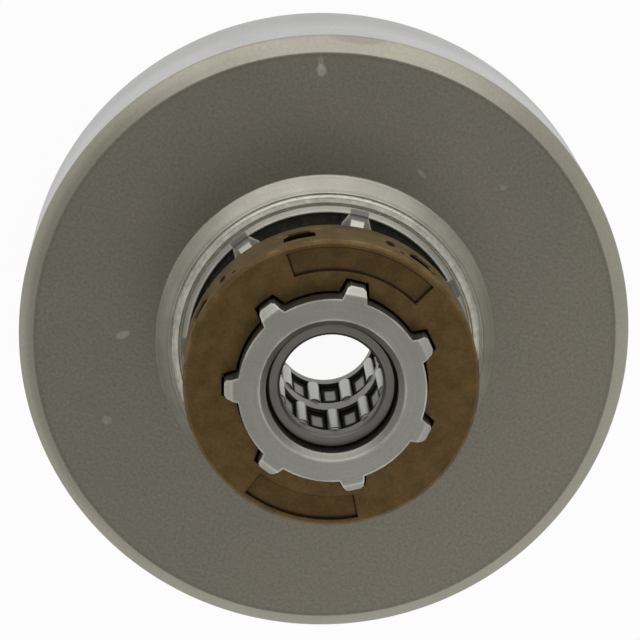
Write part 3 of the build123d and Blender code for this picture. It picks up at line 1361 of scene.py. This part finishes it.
@dataclass
class Studio:
    """Pale floor, soft light and the camera at the photograph's angle."""

    face_z: float
    tilt_deg: float = 14.68
    lean_deg: float = 8.08
    spline_turn_deg: float = 13.0
    shift_right: float = 0.671 * MM
    shift_down: float = 2.676 * MM
    distance: float = 382.6 * MM
    focal_pixels: float = 3000.0
    image_pixels: float = 640.0
    sensor: float = 36.0
    near_clip: float = 0.01
    far_clip: float = 50.0
    floor_half: float = 3.0
    floor_colour: Colour = (0.86, 0.86, 0.86)
    floor_glow: float = 0.94
    horizon_light: float = 1.0
    zenith_light: float = 0.6
    fade_low: float = 0.15
    fade_high: float = 0.8

    def build_camera(self) -> None:
        """Place the camera from the tilt, lean and distance read off the photograph."""
        tilt, lean = math.radians(self.tilt_deg), math.radians(self.lean_deg)
        shaft = Vector((math.sin(tilt) * math.sin(lean), math.sin(tilt) * math.cos(lean), -math.cos(tilt)))
        across = Vector((-shaft.z, 0.0, shaft.x)).normalized()
        upward = shaft.cross(across)
        seen = Matrix((across, upward, shaft)).transposed()
        to_part = Matrix.Rotation(math.radians(self.spline_turn_deg), 3, "Z") @ seen.transposed()
        flip = Matrix(((1, 0, 0), (0, -1, 0), (0, 0, -1)))
        offset = Vector((self.shift_right, self.shift_down, self.distance))
        place = Vector((0.0, 0.0, self.face_z)) - to_part @ offset
        lens = bpy.data.cameras.new("camera")
        lens.sensor_width = self.sensor
        lens.lens = self.focal_pixels / self.image_pixels * self.sensor
        lens.clip_start, lens.clip_end = self.near_clip, self.far_clip
        holder = bpy.data.objects.new("camera", lens)
        holder.matrix_world = Matrix.Translation(place) @ (to_part @ flip).to_4x4()
        bpy.context.scene.collection.objects.link(holder)
        bpy.context.scene.camera = holder

    def build_floor(self) -> None:
        """Lay a pale floor that looks white from above, keeps a soft shadow and is clear from below."""
        mesh = bpy.data.meshes.new("floor")
        half = self.floor_half
        corners = [(-half, -half, 0.0), (half, -half, 0.0), (half, half, 0.0), (-half, half, 0.0)]
        mesh.from_pydata(corners, [], [(0, 1, 2, 3)])
        floor = bpy.data.objects.new("floor", mesh)
        bpy.context.scene.collection.objects.link(floor)
        material = bpy.data.materials.new("floor_paper")
        material.use_nodes = True
        nodes, links = material.node_tree.nodes, material.node_tree.links
        nodes.clear()
        seen = self.seen_ray(material.node_tree, *Ray)
        paper = nodes.new("ShaderNodeBsdfDiffuse")
        paper.inputs["Color"].default_value = (*self.floor_colour, 1.0)
        dim = nodes.new("ShaderNodeBsdfDiffuse")
        dim.inputs["Color"].default_value = (*[1.0 - self.floor_glow] * 3, 1.0)
        glow = nodes.new("ShaderNodeEmission")
        glow.inputs["Strength"].default_value = self.floor_glow
        both = nodes.new("ShaderNodeAddShader")
        links.new(dim.outputs[0], both.inputs[0])
        links.new(glow.outputs[0], both.inputs[1])
        choice = nodes.new("ShaderNodeMixShader")
        links.new(seen, choice.inputs[0])
        links.new(paper.outputs[0], choice.inputs[1])
        links.new(both.outputs[0], choice.inputs[2])
        side = nodes.new("ShaderNodeMixShader")
        links.new(nodes.new("ShaderNodeNewGeometry").outputs["Backfacing"], side.inputs[0])
        links.new(choice.outputs[0], side.inputs[1])
        links.new(nodes.new("ShaderNodeBsdfTransparent").outputs[0], side.inputs[2])
        links.new(side.outputs[0], nodes.new("ShaderNodeOutputMaterial").inputs["Surface"])
        floor.data.materials.append(material)

    @staticmethod
    def seen_ray(tree: bpy.types.NodeTree, *rays: Ray) -> Socket:
        """One for a ray of the named kinds.

        Args:
            tree: The tree that it is part of.
            rays: Kinds of ray.

        Returns:
            The mask.
        """
        path = tree.nodes.new("ShaderNodeLightPath")
        mask = path.outputs[rays[0].value]
        for ray in rays[1:]:
            larger = tree.nodes.new("ShaderNodeMath")
            larger.operation = "MAXIMUM"
            tree.links.new(mask, larger.inputs[0])
            tree.links.new(path.outputs[ray.value], larger.inputs[1])
            mask = larger.outputs[0]
        return mask

    def build_world(self) -> None:
        """Wrap the part in a studio that is white all round and dimmer overhead."""
        world = bpy.data.worlds.new("studio")
        world.use_nodes = True
        tree = world.node_tree
        tree.nodes.clear()
        split = tree.nodes.new("ShaderNodeSeparateXYZ")
        tree.links.new(tree.nodes.new("ShaderNodeTexCoord").outputs["Generated"], split.inputs[0])
        fade = tree.nodes.new("ShaderNodeMapRange")
        fade.interpolation_type = "SMOOTHSTEP"
        levels = {
            "From Min": self.fade_low,
            "From Max": self.fade_high,
            "To Min": self.horizon_light,
            "To Max": self.zenith_light,
        }
        for name, level in levels.items():
            fade.inputs[name].default_value = level
        tree.links.new(split.outputs["Z"], fade.inputs["Value"])
        backdrop = tree.nodes.new("ShaderNodeBackground")
        tree.links.new(fade.outputs["Result"], backdrop.inputs["Strength"])
        tree.links.new(backdrop.outputs[0], tree.nodes.new("ShaderNodeOutputWorld").inputs["Surface"])
        bpy.context.scene.world = world

    def build(self) -> None:
        """Set the whole studio round the part."""
        bpy.context.scene.view_settings.view_transform = "Standard"
        self.build_camera()
        self.build_floor()
        self.build_world()
        aim = Vector((0.0, 0.0, self.face_z))
        top = 90.0 + self.spline_turn_deg
        low = top + 205.0
        lamps = (
            Softbox("top_softbox", top, rise_deg=18.0, distance=0.7, width=1.25, height=0.5, radiance=1.0),
            Softbox("low_softbox", low, rise_deg=60.0, distance=0.6, width=0.3, height=0.3, radiance=1.2),
        )
        for lamp in lamps:
            lamp.hang(aim)


def main() -> None:
    """Load the frame, dress every piece and set the studio."""
    logging.basicConfig(level=logging.INFO, format="%(name)s: %(message)s")
    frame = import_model()
    nodes = frame["nodes"]
    cup = DrumCup.from_frame()
    LOG.info("built %s", cup.build().name)
    SplinedHub.from_frame(cup).finish(nodes["splined_hub"])
    LOG.info("dressed splined_hub")
    RimSprocket.from_frame().finish(nodes["rim_sprocket"])
    LOG.info("dressed rim_sprocket")
    bearing = NeedleBearing.from_frame()
    bearing.finish(nodes["needle_cage"])
    LOG.info("dressed needle_cage")
    for roller in bearing.build_rollers():
        LOG.info("built %s", roller.name)
    Studio(face_z=cup.face_z).build()


if __name__ == "__main__":
    main()
